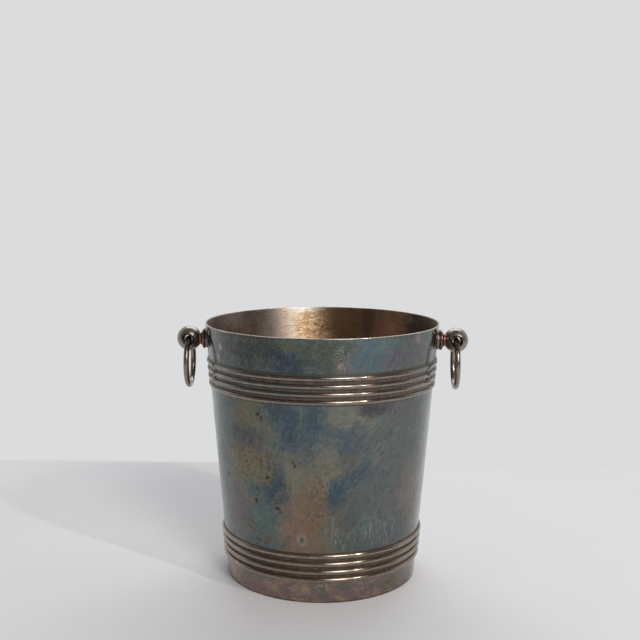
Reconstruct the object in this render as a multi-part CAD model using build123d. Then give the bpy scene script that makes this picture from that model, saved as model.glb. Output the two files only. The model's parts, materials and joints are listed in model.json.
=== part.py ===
from build123d import *
import os
from math import atan2, cos, degrees, radians, sin, sqrt, tan

# Champagne bucket in silver-plated brass, with a ring handle on each side.
# Millimetres. +Z is up, the origin is the middle of the foot on the table,
# and the two handles lie along X.

# ---- vessel ----
HEIGHT = 219.0             # table to rim
RIM_RADIUS = 100.0         # outside of the wall at the rim
FOOT_RADIUS = 81.5         # outside of the foot at the table
WALL = 1.3                 # sheet thickness of wall and foot, measured level
RIM_EDGE_RADIUS = 0.6      # rounding on both corners of the rim
FLOOR_THICKNESS = 1.2      # pressed floor dish
FLOOR_FLANGE = 7.0         # height of the dish's turned-up edge
FLOOR_CORNER_RADIUS = 3.0  # bend between the dish's floor and its edge
SPIGOT_HEIGHT = 5.0        # top of the foot ring, set in by one sheet to fit inside the wall
LIP_WIDTH = 3.0            # turned-in bottom of the foot ring
FOOT_EDGE_RADIUS = 0.5     # rounding where the foot meets the table

# ---- reeds: half-round wires soldered round the wall ----
REED_COUNT = 4
UPPER_REED_DROP = 31.9     # rim down to the first crest
UPPER_REED_PITCH = 6.4
UPPER_REED_WIDTH = 4.3
UPPER_REED_RISE = 1.65
LOWER_REED_LIFT = 19.9     # table up to the last crest, which covers the foot seam
LOWER_REED_PITCH = 6.8
LOWER_REED_WIDTH = 4.7
LOWER_REED_RISE = 2.1
MARGIN_WIDTH = 1.7         # flat strip above the top reed
MARGIN_RISE = 0.3

# ---- handle fittings ----
HANDLE_DROP = 15.5         # rim down to the handle axis
BALL_RADIUS = 10.5
NECK_RADIUS = 5.3
NECK_LENGTH = 1.4          # bare neck between collar and ball
NECK_FILLET = 0.5
COLLAR_LENGTH = 5.4        # from the wall, along the handle axis
COLLAR_RADIUS = 8.8        # widest part, the crowned bead
COLLAR_FLANGE_RADIUS = 8.2
COLLAR_FLANGE_LENGTH = 1.5
COLLAR_GROOVE_DEPTH = 0.45
COLLAR_CROWN = 0.1         # how far the bead's middle falls short of its widest radius
COLLAR_BEVEL_LENGTH = 1.9
SHANK_RADIUS = 3.0
SHANK_CLEARANCE = 0.05     # radial, in collar, wall, washer and nut
SHANK_END = 1.5            # shank standing out of the nut
SHANK_CHAMFER = 0.5
WASHER_RADIUS = 7.5
WASHER_THICKNESS = 1.8     # on the handle axis
NUT_ACROSS_FLATS = 10.0
NUT_THICKNESS = 4.5
NUT_CHAMFER_ANGLE = 30.0

# ---- loose rings ----
RING_RADIUS = 20.35        # centre of the ring to the centre of its wire
WIRE_RADIUS = 2.4
RING_PLAY = 0.6            # even play of the wire all round in the bore
RING_GAP = 0.35            # gap left where the wire hangs nearest the bore
BORE_HALF_LENGTH = 6.8     # straight part of the cross hole, each side of the middle
MOUTH_FLARE = 1.6          # growth of the hole's radius at each mouth

OVERSHOOT = 1.0            # cutters run past what they cut by this much
LARGEST_ROUNDING = 0.45    # of the sheet's thickness, so that a rounded edge keeps a flat
HEX_HALF_SIDE_ANGLE = 30.0

# ---- worked out from the above ----
LEAN = degrees(atan2(RIM_RADIUS - FOOT_RADIUS, HEIGHT))  # wall's lean from upright
HANDLE_HEIGHT = HEIGHT - HANDLE_DROP
SEAM_HEIGHT = LOWER_REED_LIFT
FLOOR_HEIGHT = SEAM_HEIGHT + SPIGOT_HEIGHT
UPPER_CRESTS = [HEIGHT - UPPER_REED_DROP - i * UPPER_REED_PITCH for i in range(REED_COUNT)]
LOWER_CRESTS = [LOWER_REED_LIFT + (REED_COUNT - 1 - i) * LOWER_REED_PITCH for i in range(REED_COUNT)]


def outside(z):
    """Radius of the wall's outer face at height z: a straight taper from foot to rim."""
    return FOOT_RADIUS + (RIM_RADIUS - FOOT_RADIUS) * z / HEIGHT


def inside(z):
    """Radius of the wall's inner face at height z."""
    return outside(z) - WALL


WALL_FACE = outside(HANDLE_HEIGHT)
WASHER_FACE = inside(HANDLE_HEIGHT) - WASHER_THICKNESS
NUT_FACE = WASHER_FACE - NUT_THICKNESS
SHANK_TIP = NUT_FACE - SHANK_END
COLLAR_FACE = WALL_FACE + COLLAR_LENGTH
BALL_START = COLLAR_FACE + NECK_LENGTH
BALL_CENTRE = BALL_START + sqrt(BALL_RADIUS**2 - NECK_RADIUS**2)
HOLE_RADIUS = SHANK_RADIUS + SHANK_CLEARANCE
BORE_SAG = RING_RADIUS - sqrt(RING_RADIUS**2 - BORE_HALF_LENGTH**2)
BORE_TILT = 1 - BORE_SAG / RING_RADIUS  # cosine of the wire's slope at the end of the straight bore
BORE_RADIUS = WIRE_RADIUS / BORE_TILT + RING_PLAY + BORE_SAG / 2
RING_CENTRE = HANDLE_HEIGHT + BORE_SAG / 2 - (RING_PLAY - RING_GAP) - RING_RADIUS


def turned(points):
    """Closed outline of straight runs, revolved about Z; points are (radius, height)."""
    return revolve(Plane.XZ * make_face(Polyline(*points, close=True)), Axis.Z)


def wall_cone(radius_at, low, high):
    """Solid cone whose radius follows radius_at(z) from low to high."""
    return turned([(0, low), (radius_at(low), low), (radius_at(high), high), (0, high)])


def along_x(outline):
    """Revolve a face drawn with x along the handle axis and y as radius, lifted to the handles."""
    return Pos(0, 0, HANDLE_HEIGHT) * revolve(outline, Axis.X)


def rod(radius, start, end):
    """Round bar on the handle axis from x = start to x = end."""
    length = abs(end - start)
    middle = (start + end) / 2
    return Pos(middle, 0, HANDLE_HEIGHT) * Rot(0, 90, 0) * Cylinder(radius, length)


def bucket_wall():
    """Tapered wall from the foot seam to the rim, rounded at the rim, drilled for both shanks."""
    body = turned([
        (inside(SEAM_HEIGHT), SEAM_HEIGHT),
        (outside(SEAM_HEIGHT), SEAM_HEIGHT),
        (outside(HEIGHT), HEIGHT),
        (inside(HEIGHT), HEIGHT),
    ])
    rim_edges = body.edges().group_by(Axis.Z)[-1]
    body = fillet(rim_edges, min(RIM_EDGE_RADIUS, WALL * LARGEST_ROUNDING))
    return body - rod(HOLE_RADIUS, -RIM_RADIUS, RIM_RADIUS)


def foot_ring():
    """Skirt on the wall's own taper: a spigot inside the wall at its top, a lip at its foot."""
    step = SEAM_HEIGHT - WALL
    skirt = turned([
        (outside(0) - LIP_WIDTH, 0),
        (outside(0), 0),
        (outside(SEAM_HEIGHT), SEAM_HEIGHT),
        (inside(SEAM_HEIGHT), SEAM_HEIGHT),
        (inside(FLOOR_HEIGHT), FLOOR_HEIGHT),
        (inside(FLOOR_HEIGHT) - WALL, FLOOR_HEIGHT),
        (inside(step) - WALL, step),
        (inside(step - WALL), step - WALL),
        (inside(WALL), WALL),
        (outside(0) - LIP_WIDTH, WALL),
    ])
    table_edges = skirt.edges().group_by(Axis.Z)[0]
    return fillet(table_edges, min(FOOT_EDGE_RADIUS, WALL * LARGEST_ROUNDING))


def floor_plate():
    """Dish standing on the foot ring's spigot; its turned-up edge lies against the wall."""
    top = FLOOR_HEIGHT + FLOOR_THICKNESS
    edge = FLOOR_HEIGHT + FLOOR_FLANGE
    bend = (inside(top) - FLOOR_THICKNESS, top)
    outline = make_face(Polyline(
        (0, FLOOR_HEIGHT),
        (inside(FLOOR_HEIGHT), FLOOR_HEIGHT),
        (inside(edge), edge),
        (inside(edge) - FLOOR_THICKNESS, edge),
        bend,
        (0, top),
        close=True,
    ))
    corner = outline.vertices().sort_by_distance(Vector(*bend))[0]
    return revolve(Plane.XZ * fillet(corner, FLOOR_CORNER_RADIUS), Axis.Z)


def reed(crest, width, rise, margin=0.0):
    """Half-round wire: an arc standing on the wall's slope, carried once round the wall.

    With a margin, a thin flat strip of that width runs on from the wire's upper edge.
    """
    along = Vector(sin(radians(LEAN)), cos(radians(LEAN)))
    out = Vector(cos(radians(LEAN)), -sin(radians(LEAN)))
    middle = Vector(outside(crest), crest)
    low = middle - along * (width / 2)
    high = middle + along * (width / 2)
    section = make_face([ThreePointArc(low, middle + out * rise, high), Line(high, low)])
    if margin:
        end = high + along * margin
        lift = out * MARGIN_RISE
        section += make_face(Polyline(middle, end, end + lift, middle + lift, close=True))
    return revolve(Plane.XZ * section, Axis.Z)


def collar():
    """Turned collar: flange against the wall, groove, crowned bead, bevel down to the neck."""
    start = WALL_FACE - COLLAR_LENGTH
    groove = WALL_FACE + COLLAR_FLANGE_LENGTH
    crown = COLLAR_FACE - COLLAR_BEVEL_LENGTH
    groove_radius = COLLAR_FLANGE_RADIUS - COLLAR_GROOVE_DEPTH
    outline = make_face([
        Line((start, HOLE_RADIUS), (start, COLLAR_FLANGE_RADIUS)),
        Line((start, COLLAR_FLANGE_RADIUS), (groove - COLLAR_GROOVE_DEPTH, COLLAR_FLANGE_RADIUS)),
        Line((groove - COLLAR_GROOVE_DEPTH, COLLAR_FLANGE_RADIUS), (groove, groove_radius)),
        ThreePointArc(
            (groove, groove_radius),
            ((groove + crown) / 2, COLLAR_RADIUS - COLLAR_CROWN),
            (crown, COLLAR_RADIUS),
        ),
        Line((crown, COLLAR_RADIUS), (COLLAR_FACE, NECK_RADIUS)),
        Line((COLLAR_FACE, NECK_RADIUS), (COLLAR_FACE, HOLE_RADIUS)),
        Line((COLLAR_FACE, HOLE_RADIUS), (start, HOLE_RADIUS)),
    ])
    return along_x(outline) - wall_cone(outside, 0, HEIGHT)


def cross_hole():
    """Cutter for the ball's hole along Y: straight in the middle, flared at both mouths."""
    mouth = BORE_RADIUS + MOUTH_FLARE
    mouth_y = sqrt(BALL_RADIUS**2 - mouth**2)
    flare = (mouth_y - BORE_HALF_LENGTH) / MOUTH_FLARE
    end = BALL_RADIUS + OVERSHOOT
    half = turned([
        (0, 0),
        (BORE_RADIUS, 0),
        (BORE_RADIUS, BORE_HALF_LENGTH),
        (BORE_RADIUS + (end - BORE_HALF_LENGTH) / flare, end),
        (0, end),
    ])
    cutter = half + mirror(half, Plane.XY)
    return Pos(BALL_CENTRE, 0, HANDLE_HEIGHT) * Rot(90, 0, 0) * cutter


def ball_stud():
    """Ball, neck and shank turned in one piece, then cross-drilled for the ring."""
    ball_top = (BALL_CENTRE, BALL_RADIUS)
    ball_end = (BALL_CENTRE + BALL_RADIUS, 0)
    outline = make_face([
        Polyline(
            (BALL_CENTRE + BALL_RADIUS, 0),
            (SHANK_TIP, 0),
            (SHANK_TIP, SHANK_RADIUS - SHANK_CHAMFER),
            (SHANK_TIP + SHANK_CHAMFER, SHANK_RADIUS),
            (COLLAR_FACE, SHANK_RADIUS),
            (COLLAR_FACE, NECK_RADIUS),
            (BALL_START, NECK_RADIUS),
        ),
        RadiusArc((BALL_START, NECK_RADIUS), ball_top, BALL_RADIUS),
        RadiusArc(ball_top, ball_end, BALL_RADIUS),
    ])
    root = outline.vertices().sort_by_distance(Vector(BALL_START, NECK_RADIUS))[0]
    return along_x(fillet(root, NECK_FILLET)) - cross_hole()


def washer():
    """Saddle washer: flat under the nut, and cut to the inside of the wall on its other face."""
    blank = rod(WASHER_RADIUS, WASHER_FACE, RIM_RADIUS) - rod(HOLE_RADIUS, WASHER_FACE, RIM_RADIUS)
    return blank & wall_cone(inside, 0, HEIGHT)


def nut():
    """Hexagon nut, its corners turned off by a cone on the side away from the wall."""
    face = NUT_ACROSS_FLATS / 2
    corner = face / cos(radians(HEX_HALF_SIDE_ANGLE))
    spread = NUT_THICKNESS / tan(radians(NUT_CHAMFER_ANGLE))
    prism = extrude(RegularPolygon(corner, 6), NUT_THICKNESS)
    envelope = turned([(0, 0), (face + spread, 0), (face, NUT_THICKNESS), (0, NUT_THICKNESS)])
    blank = Pos(WASHER_FACE, 0, HANDLE_HEIGHT) * Rot(0, -90, 0) * (prism & envelope)
    return blank - rod(HOLE_RADIUS, NUT_FACE - OVERSHOOT, WASHER_FACE + OVERSHOOT)


def ring():
    """Closed ring of round wire, hanging in the YZ plane through the ball's cross hole."""
    return Pos(BALL_CENTRE, 0, RING_CENTRE) * Rot(0, 90, 0) * Torus(RING_RADIUS, WIRE_RADIUS)


pieces = {
    "bucket_wall": bucket_wall(),
    "foot_ring": foot_ring(),
    "floor_plate": floor_plate(),
}
for i in range(REED_COUNT):
    margin = MARGIN_WIDTH if i == 0 else 0.0
    pieces[f"upper_reed_{i + 1}"] = reed(UPPER_CRESTS[i], UPPER_REED_WIDTH, UPPER_REED_RISE, margin)
    pieces[f"lower_reed_{i + 1}"] = reed(LOWER_CRESTS[i], LOWER_REED_WIDTH, LOWER_REED_RISE)
fittings = {"collar": collar(), "ball_stud": ball_stud(), "washer": washer(), "nut": nut(), "ring": ring()}
for name, shape in fittings.items():
    pieces[f"right_{name}"] = shape
    pieces[f"left_{name}"] = mirror(shape, Plane.YZ)

os.makedirs("parts", exist_ok=True)
for name, shape in pieces.items():
    export_step(shape, f"parts/{name}.step")
print("handle axis height", round(HANDLE_HEIGHT, 3), "ball centre", round(BALL_CENTRE, 3))
print("bore radius", round(BORE_RADIUS, 3), "ring centre height", round(RING_CENTRE, 3))
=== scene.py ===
import json
from functools import partial
from math import cos, pi, radians, sin, sqrt

import bpy
import numpy as np
from mathutils import Matrix, Vector


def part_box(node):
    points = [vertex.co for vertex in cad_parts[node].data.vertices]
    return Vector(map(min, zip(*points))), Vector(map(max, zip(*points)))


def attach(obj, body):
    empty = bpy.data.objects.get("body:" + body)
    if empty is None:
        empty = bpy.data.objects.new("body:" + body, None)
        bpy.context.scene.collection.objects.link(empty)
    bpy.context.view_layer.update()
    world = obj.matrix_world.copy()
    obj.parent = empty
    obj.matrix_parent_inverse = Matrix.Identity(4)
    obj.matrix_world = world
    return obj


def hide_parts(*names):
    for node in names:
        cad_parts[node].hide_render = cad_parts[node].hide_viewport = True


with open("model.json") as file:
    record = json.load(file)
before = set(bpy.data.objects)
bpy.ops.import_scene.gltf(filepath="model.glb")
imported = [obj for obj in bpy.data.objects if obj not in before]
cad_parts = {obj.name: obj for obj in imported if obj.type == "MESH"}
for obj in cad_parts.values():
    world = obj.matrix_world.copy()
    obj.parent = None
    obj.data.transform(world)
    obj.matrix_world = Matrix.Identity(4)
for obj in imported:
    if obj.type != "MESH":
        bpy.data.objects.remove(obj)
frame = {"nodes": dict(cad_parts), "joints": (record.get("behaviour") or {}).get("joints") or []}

# ---- the vessel, in metres: the same driving sizes as the CAD source ----
HEIGHT = 0.219
RIM_RADIUS = 0.100
FOOT_RADIUS = 0.0815
SHEET = 0.0013
RIM_ROUNDING = 0.000585
SHANK_HOLE = 0.00305
REED_COUNT = 4
MARGIN_RISE = 0.0003
MARGIN_WIDTH = 0.0017
MARGIN_GAP = 0.0001
TAPER = (RIM_RADIUS - FOOT_RADIUS) / HEIGHT
LEAN = np.arctan(TAPER)

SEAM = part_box("bucket_wall")[0].z
HANDLE_HEIGHT = frame["joints"][0]["pos_m"][2]

# ---- grid sizes of the computed surfaces ----
WALL_COLUMNS = 448
WALL_ROWS_BELOW_HANDLE = 86
WALL_ROWS_ABOVE_HANDLE = 7
RIM_STEPS = 5
HOLE_HALF_COLUMNS = 3
HOLE_HALF_ROWS = 2
REED_COLUMNS = 720
REED_ARC_STEPS = 14
MARGIN_STEPS = 3
RING_STEPS = 220
RING_WIRE_STEPS = 28
# A reed's edges that are sharper than so many degrees stay crisp under smooth shading.
CRISP_ANGLE = 60

# ---- wear, in metres; on wires, depths are shares of the wire and lengths are degrees round ----
WAVE_DEPTH = 0.00016
RIPPLE_DEPTH = 0.000018
HELD_HALF_WIDTH = 0.016
HELD_HALF_HEIGHT = 0.014
SEAM_FADE = 0.02
REED_NICKS = 9
NICK_LENGTHS = (0.6, 2.0)
NICK_DEPTHS = (0.03, 0.10)
REED_SWELL = 0.03
RING_THINNING = 0.012
BRAZED_AT = 140
BRAZED_HALF_WIDTH = 0.9
BRAZED_GROOVE = 0.035
BEARING_HALF_WIDTH = 16
BEARING_WEAR = 0.03
# small dents: degrees round from the front, height, radius and depth in metres
DENTS = [
    (-52, 0.2030, 0.0030, 0.00022),
    (-54, 0.1955, 0.0036, 0.00025),
    (9, 0.2010, 0.0022, 0.00020),
    (13, 0.1985, 0.0016, 0.00015),
    (21, 0.1180, 0.0040, 0.00012),
    (-31, 0.0840, 0.0024, 0.00010),
    (105, 0.1500, 0.0060, 0.00030),
    (168, 0.1900, 0.0040, 0.00025),
    (214, 0.1200, 0.0070, 0.00035),
]
# nicks in the rim: degrees round from the front, half length in degrees, depth in metres
RIM_NICKS = [
    (-162, 2.2, 0.00022),
    (-167, 1.2, 0.00030),
    (-171, 3.0, 0.00018),
    (64, 1.0, 0.00020),
    (-24, 0.8, 0.00015),
]

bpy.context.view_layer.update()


def outside(z):
    """Radius of the wall's outer face at height z: foot radius plus taper times height."""
    return FOOT_RADIUS + TAPER * z


# ---- Surfaces ----

def new_piece(name, points, faces, materials, face_material=None):
    """Mesh object at the origin from an array of points and an array of quads, shaded smooth."""
    mesh = bpy.data.meshes.new(name)
    mesh.from_pydata(points.reshape(-1, 3).tolist(), [], faces.tolist())
    for material in materials:
        mesh.materials.append(material)
    if face_material is not None:
        mesh.polygons.foreach_set("material_index", face_material.astype(np.int32))
    mesh.shade_smooth()
    mesh.validate()
    piece = bpy.data.objects.new(name, mesh)
    bpy.context.scene.collection.objects.link(piece)
    return piece


def ring_quads(rows, columns):
    """Quads of a grid that closes into a ring both ways.

    The vertex in row i and column j is number i * columns + j. Each quad joins (i, j), (i, j+1),
    (i+1, j+1) and (i+1, j).
    """
    i = np.arange(rows)[:, None]
    j = np.arange(columns)[None, :]
    up, across = (i + 1) % rows, (j + 1) % columns
    corners = (i * columns + j, i * columns + across, up * columns + across, up * columns + j)
    return np.stack(np.broadcast_arrays(*corners), axis=-1).reshape(-1, 4)


def waves(angle, height, seed, count, shortest, longest):
    """Smooth random field between about -1 and 1 over angle (radians) and height (metres).

    It is a sum of cosine waves. Each has a whole number of turns round the vessel, a random
    vertical wave number and a random phase, and its share falls with its wave number.
    """
    rng = np.random.default_rng(seed)
    total = np.zeros(np.broadcast(angle, height).shape)
    weight = 0.0
    for _ in range(count):
        length = shortest * (longest / shortest) ** rng.random()
        turn = rng.random() * pi
        around = round(2 * pi * RIM_RADIUS * cos(turn) / length)
        upward = 2 * pi * sin(turn) / length
        share = length / longest
        total += share * np.cos(around * angle + upward * height + rng.random() * 2 * pi)
        weight += share * share / 2
    return total / (2 * sqrt(weight))


def near(angle, centre):
    """Signed difference of two angles, wrapped to between -pi and pi."""
    return (angle - centre + pi) % (2 * pi) - pi


def dent_depth(angle, height):
    """How far the sheet is pushed outwards from its true cone, in metres.

    Long shallow waves from spinning and use, plus a few small round dents, each a bell curve.
    Everything fades out towards the shank holes and the foot seam, where the sheet is held.
    """
    held = 0
    for handle_angle in (0, pi):
        across = near(angle, handle_angle) * RIM_RADIUS / HELD_HALF_WIDTH
        up = (height - HANDLE_HEIGHT) / HELD_HALF_HEIGHT
        held = held + np.exp(-across**2 - up**2)
    free = (1 - held) * np.clip((height - SEAM) / SEAM_FADE, 0, 1)
    depth = WAVE_DEPTH * waves(angle, height, seed=3, count=26, shortest=0.045, longest=0.16)
    ripple = waves(angle, height, seed=8, count=40, shortest=0.014, longest=0.04)
    depth = depth + RIPPLE_DEPTH * ripple
    for turn, z, radius, deep in DENTS:
        away = near(angle, radians(turn - 90)) * outside(z)
        depth = depth - deep * np.exp(-(away**2 + (height - z)**2) / radius**2)
    return depth * free


def spun_wall(materials):
    """Wall sheet: a closed outline in radius and height, carried once round the axis.

    The outline runs up the outer cone, over the rim in two quarter circles, down the inner cone
    and back along the lower edge. Both faces are moved outwards by dent_depth, so the sheet keeps
    its thickness, and the rim is lowered by its nicks. At each shank hole a block of quads is taken
    out of both faces, the block's border is laid on the hole's circle, and a tube joins the two.
    """
    rows_below = np.linspace(SEAM, HANDLE_HEIGHT, WALL_ROWS_BELOW_HANDLE + 1)
    rows_above = np.linspace(HANDLE_HEIGHT, HEIGHT - RIM_ROUNDING, WALL_ROWS_ABOVE_HANDLE + 1)[1:]
    side = np.concatenate([rows_below, rows_above])
    swing = np.linspace(0, pi / 2, RIM_STEPS + 1)[1:]
    arc_in, arc_up = RIM_ROUNDING * (1 - np.cos(swing)), RIM_ROUNDING * np.sin(swing)
    top = side[-1]
    outer_rim = np.stack([outside(top) - arc_in, top + arc_up], axis=1)
    inner_rim = np.stack([outside(top) - SHEET + arc_in, top + arc_up], axis=1)[::-1]
    outline = np.concatenate([
        np.stack([outside(side), side], axis=1),
        outer_rim,
        inner_rim,
        np.stack([outside(side) - SHEET, side], axis=1)[::-1],
    ])
    rows = len(outline)
    angle = np.linspace(0, 2 * pi, WALL_COLUMNS, endpoint=False)[None, :]
    height = np.repeat(outline[:, 1][:, None], WALL_COLUMNS, axis=1)
    radius = outline[:, 0][:, None] + dent_depth(angle, height)
    for turn, half, deep in RIM_NICKS:
        bell = np.exp(-(near(angle, radians(turn - 90)) / radians(half))**2)
        height = height - deep * bell * np.clip((height - top) / RIM_ROUNDING, 0, 1)
    points = np.stack([radius * np.cos(angle), radius * np.sin(angle), height], axis=-1)

    quads = ring_quads(rows, WALL_COLUMNS).reshape(rows, WALL_COLUMNS, 4)
    shaft_row = WALL_ROWS_BELOW_HANDLE
    kept = np.ones((rows, WALL_COLUMNS), bool)
    tubes = []
    for side_column in (0, WALL_COLUMNS // 2):
        borders = []
        for middle, face in ((shaft_row, 0.0), (rows - 1 - shaft_row, SHEET)):
            i, j = hole_border(HOLE_HALF_ROWS, HOLE_HALF_COLUMNS)
            i, j = i + middle, (j + side_column) % WALL_COLUMNS
            direction = np.arctan2(points[i, j, 2] - HANDLE_HEIGHT, points[i, j, 1])
            y = SHANK_HOLE * np.cos(direction)
            z = HANDLE_HEIGHT + SHANK_HOLE * np.sin(direction)
            x = np.sqrt((outside(z) - face)**2 - y**2) * np.sign(points[i, j, 0])
            points[i, j] = np.stack([x, y, z], axis=-1)
            row = np.arange(middle - HOLE_HALF_ROWS, middle + HOLE_HALF_ROWS)[:, None]
            column = np.arange(-HOLE_HALF_COLUMNS, HOLE_HALF_COLUMNS)[None, :] + side_column
            kept[row, column % WALL_COLUMNS] = False
            borders.append((i * WALL_COLUMNS + j)[np.argsort(direction)])
        outer, inner = borders
        tube = np.stack([outer, np.roll(outer, -1), np.roll(inner, -1), inner], axis=1)
        tubes.append(tube if side_column else tube[:, ::-1])
    sheet_rows = np.repeat(np.arange(rows), WALL_COLUMNS)[kept.ravel()]
    faces = np.concatenate([quads[kept]] + tubes)
    tube_faces = np.ones(len(faces) - kept.sum(), bool)
    is_inside = np.concatenate([sheet_rows >= len(side) + RIM_STEPS, tube_faces])
    return new_piece("spun_wall", points, faces, materials, is_inside)


def hole_border(half_rows, half_columns):
    """Row and column offsets of the border of a block of quads, once round and in order."""
    r, c = half_rows, half_columns
    low = [(-r, j) for j in range(-c, c)]
    right = [(i, c) for i in range(-r, r)]
    high = [(r, j) for j in range(c, -c, -1)]
    left = [(i, -c) for i in range(r, -r, -1)]
    border = np.array(low + right + high + left)
    return border[:, 0], border[:, 1]


def reed_piece(node, seed, margin, material):
    """Half-round wire: a circular arc standing on the wall's slope, carried once round the wall.

    The wire's width and rise come from its CAD box. With a margin, a thin flat strip of that width
    runs on from its upper edge. Its rise swells and thins a little with slow waves round the
    vessel, and small bell-shaped nicks are filed out of the crest.
    """
    low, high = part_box(node)
    width = (high.z - low.z) / cos(LEAN) - margin
    middle = low.z + width / 2 * cos(LEAN)
    rise = (high.x - outside(middle)) / cos(LEAN)
    radius = (width**2 / 4 + rise**2) / (2 * rise)
    half = np.arcsin(min(1.0, width / 2 / radius))
    if rise > radius:
        half = pi - half
    swing = np.linspace(-half, half, REED_ARC_STEPS + 1)
    along = radius * np.sin(swing)
    out = radius * np.cos(swing) - (radius - rise)
    if margin:
        strip = np.linspace(0, margin, MARGIN_STEPS + 1)[1:]
        step = np.searchsorted(-out[len(out) // 2:], -MARGIN_RISE) + len(out) // 2
        tail = [[along[-1] + MARGIN_GAP], width / 2 + strip, [width / 2 + margin]]
        along = np.concatenate([along[:step]] + tail)
        out = np.concatenate([out[:step], [MARGIN_RISE] * (MARGIN_STEPS + 1), [0.0]])
    angle = np.linspace(0, 2 * pi, REED_COLUMNS, endpoint=False)[None, :]
    worn = 1 + REED_SWELL * waves(angle, 0, seed, count=20, shortest=0.02, longest=0.12)
    rng = np.random.default_rng(seed + 100)
    for _ in range(REED_NICKS):
        where = rng.uniform(0, 2 * pi)
        long = rng.uniform(*NICK_LENGTHS)
        deep = rng.uniform(*NICK_DEPTHS)
        worn = worn - deep * np.exp(-(near(angle, where) / radians(long) * 2)**2)
    lift = out[:, None] * worn
    r = outside(middle) + along[:, None] * sin(LEAN) + lift * cos(LEAN)
    z = middle + along[:, None] * cos(LEAN) - lift * sin(LEAN)
    points = np.stack([r * np.cos(angle), r * np.sin(angle), z + 0 * angle], axis=-1)
    faces = ring_quads(len(along), REED_COLUMNS)
    piece = new_piece("wire_" + node, points, faces, [material])
    piece.data.set_sharp_from_angle(angle=radians(CRISP_ANGLE))
    return piece


def round_wire_ring(node, seed, material):
    """Ring of round wire: a circle carried round a larger circle in the YZ plane.

    Both radii come from the CAD box. The wire thins a little with slow waves. It is worn by less
    than a tenth of a millimetre where its inner side bears in the ball, at the top, and a shallow
    groove is left where its two ends were brazed together.
    """
    low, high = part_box(node)
    wire = (high.x - low.x) / 2
    large = (high.z - low.z) / 2 - wire
    centre = (low + high) / 2
    turn = np.linspace(0, 2 * pi, RING_STEPS, endpoint=False)[:, None]
    swing = np.linspace(0, 2 * pi, RING_WIRE_STEPS, endpoint=False)[None, :]
    thin = 1 - RING_THINNING * (1 + waves(turn, 0, seed, count=12, shortest=0.05, longest=0.3))
    from_seam = near(turn, radians(BRAZED_AT + 3 * seed)) / radians(BRAZED_HALF_WIDTH)
    seam = 1 - BRAZED_GROOVE * np.exp(-from_seam**2)
    from_top = near(turn, 0) / radians(BEARING_HALF_WIDTH)
    bearing = 1 - BEARING_WEAR * np.exp(-from_top**2) * (np.cos(swing) < 0)
    w = wire * thin * seam * bearing
    spread = large + w * np.cos(swing)
    x = centre.x + w * np.sin(swing)
    y = centre.y + spread * np.sin(turn)
    z = centre.z + spread * np.cos(turn)
    points = np.stack(np.broadcast_arrays(x, y, z), axis=-1)
    return new_piece("wire_" + node, points, ring_quads(RING_STEPS, RING_WIRE_STEPS), [material])


# ---- Shader building ----

class Nodes:
    """Adds shader nodes to one tree.

    Wherever a method takes a value, a number, colour or vector is set on the socket itself, and
    another node's output is linked to it.
    """

    def __init__(self, tree):
        self.tree = tree

    def add(self, kind, inputs=(), **settings):
        """Node of a kind, with its settings made and its inputs filled."""
        node = self.tree.nodes.new(kind)
        for key, value in settings.items():
            setattr(node, key, value)
        for key, value in dict(inputs).items():
            self.put(node.inputs[key], value)
        return node

    def put(self, socket, value):
        """Fills one input socket."""
        if isinstance(value, bpy.types.NodeSocket):
            self.tree.links.new(value, socket)
        else:
            socket.default_value = value

    def calc(self, operation, a, b=0.0, c=0.0):
        """Result of one Math operation."""
        return self.add("ShaderNodeMath", {0: a, 1: b, 2: c}, operation=operation).outputs[0]

    def times(self, a, b):
        """Product of two numbers."""
        return self.calc("MULTIPLY", a, b)

    def fit(self, value, low, high, to_low=0.0, to_high=1.0, smooth=True):
        """Value carried from low..high to to_low..to_high, with eased ends or straight."""
        kind = "SMOOTHSTEP" if smooth else "LINEAR"
        sockets = {"Value": value, "From Min": low, "From Max": high}
        sockets.update({"To Min": to_low, "To Max": to_high})
        return self.add("ShaderNodeMapRange", sockets, interpolation_type=kind).outputs["Result"]

    def blend(self, share, a, b):
        """Number a where share is 0 and b where it is 1."""
        return self.add("ShaderNodeMix", {0: share, 2: a, 3: b}, data_type="FLOAT").outputs[0]

    def paint(self, share, a, b, mode="MIX"):
        """Colour a where share is 0 and b, in the given mode, where it is 1."""
        node = self.add("ShaderNodeMix", {0: share, 6: a, 7: b}, data_type="RGBA", blend_type=mode)
        return node.outputs[2]

    def tint(self, mask, strength, colour, shade):
        """Colour moved towards a display shade where the mask is 1, by the given strength."""
        return self.paint(self.times(mask, strength), colour, tone(*shade))

    def place(self, vector, where=(0, 0, 0), turn=(0, 0, 0), size=(1, 1, 1)):
        """Coordinates that put a pattern at a place, turned, and larger by size along each axis."""
        sockets = {"Vector": vector, "Location": where, "Rotation": turn, "Scale": size}
        return self.add("ShaderNodeMapping", sockets, vector_type="TEXTURE").outputs[0]

    def noise(self, vector, size, detail=4.0, rough=0.55, warp=0.0):
        """Noise whose blotches are about size metres across."""
        sockets = {"Vector": vector, "Scale": 1 / size, "Detail": detail}
        sockets.update({"Roughness": rough, "Distortion": warp})
        return self.add("ShaderNodeTexNoise", sockets).outputs["Fac"]

    def noise_hue(self, vector, size, detail=4.0, rough=0.55, warp=0.0):
        """Noise of three separate channels, as a colour."""
        return self.noise(vector, size, detail, rough, warp).node.outputs["Color"]

    def ramp(self, value, stops):
        """Colour from a list of (value, display shade) stops."""
        node = self.add("ShaderNodeValToRGB", {0: value})
        elements = node.color_ramp.elements
        while len(elements) < len(stops):
            elements.new(1.0)
        for element, (place, shade) in zip(elements, stops):
            element.position = place
            element.color = tone(*shade)
        return node.outputs["Color"]

    def split(self, vector):
        """X, Y and Z of a vector."""
        return self.add("ShaderNodeSeparateXYZ", {0: vector}).outputs


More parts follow.
